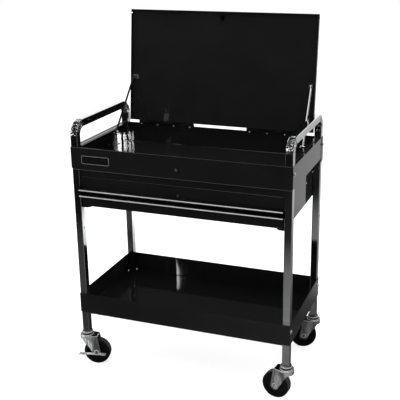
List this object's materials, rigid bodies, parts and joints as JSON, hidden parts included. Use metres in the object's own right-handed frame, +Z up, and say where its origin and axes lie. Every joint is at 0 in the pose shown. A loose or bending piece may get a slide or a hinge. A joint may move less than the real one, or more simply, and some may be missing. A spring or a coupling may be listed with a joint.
{
  "type": "service cart",
  "caption": "Wheeled utility cart: chromed tube side frames carry a hinged-lid chest with a locking drawer below and an open lower tray, on swivel casters.",
  "frame": {"origin": "middle of the footprint of the whole cart, lid open, on the floor", "axes": "+X to the right of a person who faces the drawer, +Y from the drawer front to the rear, +Z up"},
  "size_m": [0.891, 0.5314, 1.3784],
  "materials": {
    "chrome": "polished",
    "black_paint": "gloss",
    "zinc": "satin",
    "bright_steel": "polished",
    "black_pull": "satin",
    "black_rubber": "matte",
    "plate_enamel": "gloss"
  },
  "bodies": {
    "cart": {"frame_left": "chrome", "frame_right": "chrome", "chest_tray": "black_paint", "lower_tray": "black_paint", "chest_bolt_front_left": "zinc", "chest_bolt_front_right": "zinc", "chest_bolt_rear_left": "zinc", "chest_bolt_rear_right": "zinc", "tray_bolt_front_left": "zinc", "tray_bolt_front_right": "zinc", "tray_bolt_rear_left": "zinc", "tray_bolt_rear_right": "zinc", "housing_side_left": "black_paint", "housing_side_right": "black_paint", "housing_front_rail": "black_paint", "housing_back": "black_paint", "slide_rail_fixed_left": "zinc", "slide_rail_fixed_right": "zinc", "chest_lock_barrel": "bright_steel", "name_plate": "plate_enamel", "hinge_fixed_leaf_left": "black_paint", "hinge_fixed_leaf_right": "black_paint", "hinge_pin_left": "bright_steel", "hinge_pin_right": "bright_steel", "stay_guide_left": "black_paint", "stay_guide_right": "black_paint", "caster_stem_front_left": "zinc", "caster_stem_front_right": "zinc", "caster_stem_rear_left": "zinc", "caster_stem_rear_right": "zinc"},
    "lid": {"lid_pan": "black_paint", "lid_catch": "zinc", "lid_hinge_leaf_left": "black_paint", "lid_hinge_leaf_right": "black_paint", "stay_bracket_left": "zinc", "stay_bracket_right": "zinc"},
    "stay_left": {"stay_left": "zinc"},
    "stay_right": {"stay_right": "zinc"},
    "drawer": {"drawer_box": "black_paint", "drawer_front": "black_paint", "drawer_pull": "black_pull", "slide_rail_drawer_left": "zinc", "slide_rail_drawer_right": "zinc", "drawer_lock_barrel": "bright_steel"},
    "chest_lock": {"chest_lock_plug": "bright_steel"},
    "drawer_lock": {"drawer_lock_plug": "bright_steel"},
    "fork_front_left": {"caster_fork_front_left": "zinc", "caster_axle_front_left": "zinc"},
    "wheel_front_left": {"caster_wheel_front_left": "black_rubber"},
    "pedal": {"brake_pedal": "zinc"},
    "fork_front_right": {"caster_fork_front_right": "zinc", "caster_axle_front_right": "zinc"},
    "wheel_front_right": {"caster_wheel_front_right": "black_rubber"},
    "fork_rear_left": {"caster_fork_rear_left": "zinc", "caster_axle_rear_left": "zinc"},
    "wheel_rear_left": {"caster_wheel_rear_left": "black_rubber"},
    "fork_rear_right": {"caster_fork_rear_right": "zinc", "caster_axle_rear_right": "zinc"},
    "wheel_rear_right": {"caster_wheel_rear_right": "black_rubber"}
  },
  "joints": [
    {"name": "lid_hinge", "type": "hinge", "parent": "cart", "child": "lid", "pos_m": [0.00001, 0.21257, 0.9147], "axis": [1, 0, 0], "range_deg": [0, 96.6]},
    {"name": "stay_left_pivot", "type": "hinge", "parent": "lid", "child": "stay_left", "pos_m": [-0.37899, 0.21442, 1.10475], "axis": [1, 0, 0], "range_deg": [-146, 0]},
    {"name": "stay_right_pivot", "type": "hinge", "parent": "lid", "child": "stay_right", "pos_m": [0.37901, 0.21442, 1.10475], "axis": [1, 0, 0], "range_deg": [-146, 0]},
    {"name": "drawer_slide", "type": "slide", "parent": "cart", "child": "drawer", "axis": [0, -1, 0], "range_m": [0, 0.35]},
    {"name": "chest_lock_turn", "type": "hinge", "parent": "cart", "child": "chest_lock", "pos_m": [-0.00199, -0.23893, 0.8617], "axis": [0, -1, 0], "range_deg": [0, 90]},
    {"name": "drawer_lock_turn", "type": "hinge", "parent": "drawer", "child": "drawer_lock", "pos_m": [-0.00199, -0.22913, 0.7607], "axis": [0, -1, 0], "range_deg": [0, 90]},
    {"name": "swivel_front_left", "type": "hinge", "parent": "cart", "child": "fork_front_left", "pos_m": [-0.41649, -0.22343, 0.1393], "axis": [0, 0, 1], "continuous": true},
    {"name": "roll_front_left", "type": "hinge", "parent": "fork_front_left", "child": "wheel_front_left", "pos_m": [-0.37909, -0.21521, 0.0535], "axis": [-0.2147, 0.9767, 0], "continuous": true},
    {"name": "pedal_pivot", "type": "hinge", "parent": "fork_front_left", "child": "pedal", "pos_m": [-0.37909, -0.21521, 0.0535], "axis": [0.2147, -0.9767, 0], "range_deg": [0, 8]},
    {"name": "swivel_front_right", "type": "hinge", "parent": "cart", "child": "fork_front_right", "pos_m": [0.41651, -0.22343, 0.1393], "axis": [0, 0, 1], "continuous": true},
    {"name": "roll_front_right", "type": "hinge", "parent": "fork_front_right", "child": "wheel_front_right", "pos_m": [0.3787, -0.21731, 0.0535], "axis": [-0.1599, -0.9871, 0], "continuous": true},
    {"name": "swivel_rear_left", "type": "hinge", "parent": "cart", "child": "fork_rear_left", "pos_m": [-0.41649, 0.20157, 0.1393], "axis": [0, 0, 1], "continuous": true},
    {"name": "roll_rear_left", "type": "hinge", "parent": "fork_rear_left", "child": "wheel_rear_left", "pos_m": [-0.37987, 0.21276, 0.0535], "axis": [-0.2924, 0.9563, 0], "continuous": true},
    {"name": "swivel_rear_right", "type": "hinge", "parent": "cart", "child": "fork_rear_right", "pos_m": [0.41651, 0.20157, 0.1393], "axis": [0, 0, 1], "continuous": true},
    {"name": "roll_rear_right", "type": "hinge", "parent": "fork_rear_right", "child": "wheel_rear_right", "pos_m": [0.38021, 0.18935, 0.0535], "axis": [0.319, -0.9478, 0], "continuous": true}
  ],
  "couplings": [
    {"joint": "stay_left_pivot", "follows": "lid_hinge", "ratio": -1.5},
    {"joint": "stay_right_pivot", "follows": "lid_hinge", "ratio": -1.5}
  ]
}
